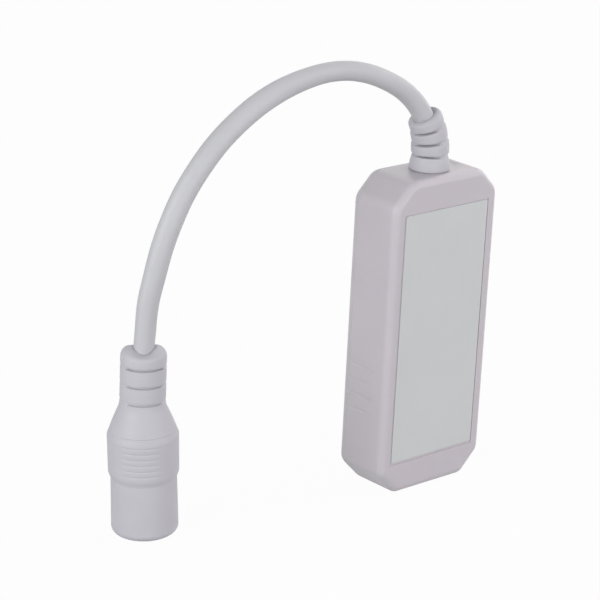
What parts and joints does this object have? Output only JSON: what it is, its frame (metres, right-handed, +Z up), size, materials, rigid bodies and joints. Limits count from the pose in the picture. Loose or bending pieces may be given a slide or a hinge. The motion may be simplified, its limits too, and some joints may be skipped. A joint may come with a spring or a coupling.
{
  "type": "led strip controller",
  "caption": "Small octagonal in-line controller for light strips, with a push button, a lamp window, a strip socket and a short power cord that ends in a round jack.",
  "frame": {"origin": "bottom centre of the case, which stands on its socket end, measured without the free cord and what is on it", "axes": "+Z up along the case towards the cord end, the label faces -Y, the button faces +Y, +X is to the right seen from the label side"},
  "size_m": [0.0699, 0.0187, 0.0749],
  "materials": {
    "case_shell": "satin, fine moulded grain",
    "label_face": "satin coated",
    "button_plastic": "smooth",
    "clear_plastic": "clear, smooth",
    "board_green": "solder mask",
    "board_blue": "solder mask",
    "tinned_steel": "tinned",
    "black_plastic": "moulded",
    "can_aluminium": "drawn",
    "ferrite": "pressed",
    "tan_ceramic": "fired",
    "lamp_resin": "clear resin",
    "spring_steel": "spring sheet",
    "white_plastic": "moulded",
    "contact_gold": "gold flashed",
    "red_insulation": "soft",
    "black_insulation": "soft",
    "soft_grey": "satin, soft moulded",
    "cord_grey": "satin, soft sheath",
    "contact_nickel": "plated"
  },
  "bodies": {
    "housing": {"front_shell": "case_shell", "back_lid": "case_shell", "label_plate": "label_face", "light_pipe": "clear_plastic", "circuit_board": "board_green", "wireless_module": "board_blue", "module_shield": "tinned_steel", "strip_mosfets": "black_plastic", "input_capacitor": "can_aluminium", "reverse_diode": "black_plastic", "regulator_chip": "black_plastic", "power_inductor": "ferrite", "ceramic_capacitors": "tan_ceramic", "chip_resistors": "black_plastic", "status_led": "lamp_resin", "switch_body": "black_plastic", "switch_cover": "tinned_steel", "switch_dome": "spring_steel", "strip_socket": "black_plastic", "socket_contacts": "contact_gold", "red_wire": "red_insulation", "black_wire": "black_insulation", "strain_relief": "soft_grey", "power_cord": "cord_grey", "jack_overmould": "soft_grey", "jack_insulator": "white_plastic", "jack_centre_pin": "contact_nickel", "jack_sleeve_contact": "tinned_steel"},
    "button": {"button_cap": "button_plastic", "switch_plunger": "white_plastic"}
  },
  "joints": [
    {"name": "button_press", "type": "slide", "parent": "housing", "child": "button", "axis": [0, -1, 0], "range_m": [0, 0.00035], "stiffness_N_per_m": 1500, "springref_m": -0.0005}
  ]
}
